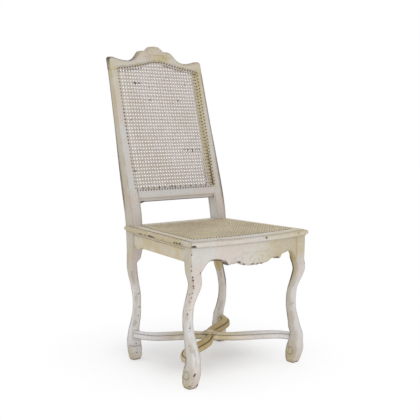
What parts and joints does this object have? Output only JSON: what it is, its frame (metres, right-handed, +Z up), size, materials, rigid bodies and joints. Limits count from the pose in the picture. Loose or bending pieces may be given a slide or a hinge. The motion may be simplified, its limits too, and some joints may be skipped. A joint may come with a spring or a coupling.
{
  "type": "cane side chair",
  "caption": "Side chair with curved legs, scroll feet, a crossed serpentine stretcher, shaped apron, and caned seat and back.",
  "frame": {"origin": "on the floor, under the middle of the chair's outer box", "axes": "+Z up; the chair's front faces -Y; +X is the right side of the chair as seen from its front"},
  "size_m": [0.5046, 0.5972, 1.0765],
  "materials": {
    "painted_wood": "worn matte paint",
    "painted_wood_worn": "worn matte paint, yellowed",
    "cane_pale": "pale woven cane",
    "cane_tan": "tan woven cane",
    "peg_wood": "matte",
    "raw_wood": "sawn, unpainted"
  },
  "bodies": {
    "root": {"front_leg_left": "painted_wood", "front_leg_right": "painted_wood", "rear_post_left": "painted_wood", "rear_post_right": "painted_wood", "crest_rail": "painted_wood", "lower_back_rail": "painted_wood", "seat_rail_front": "painted_wood", "seat_rail_rear": "painted_wood", "seat_rail_left": "painted_wood", "seat_rail_right": "painted_wood", "front_apron": "painted_wood", "rear_apron": "painted_wood", "side_apron_left": "painted_wood_worn", "side_apron_right": "painted_wood_worn", "stretcher_under": "painted_wood_worn", "stretcher_over": "painted_wood_worn", "stretcher_boss": "painted_wood_worn", "corner_block_front_left": "raw_wood", "corner_block_front_right": "raw_wood", "corner_block_rear_left": "raw_wood", "corner_block_rear_right": "raw_wood", "peg_front_apron_left": "peg_wood", "peg_front_apron_right": "peg_wood", "peg_side_front_left": "peg_wood", "peg_side_front_right": "peg_wood", "peg_side_rear_left": "peg_wood", "peg_side_rear_right": "peg_wood", "peg_rear_apron_left": "peg_wood", "peg_rear_apron_right": "peg_wood", "peg_back_rail_left": "peg_wood", "peg_back_rail_right": "peg_wood", "peg_crest_left": "peg_wood", "peg_crest_right": "peg_wood", "peg_seat_front_left": "peg_wood", "peg_seat_front_right": "peg_wood", "peg_seat_side_left": "peg_wood", "peg_seat_side_right": "peg_wood", "cane_back": "cane_pale", "cane_seat": "cane_tan"}
  },
  "joints": []
}
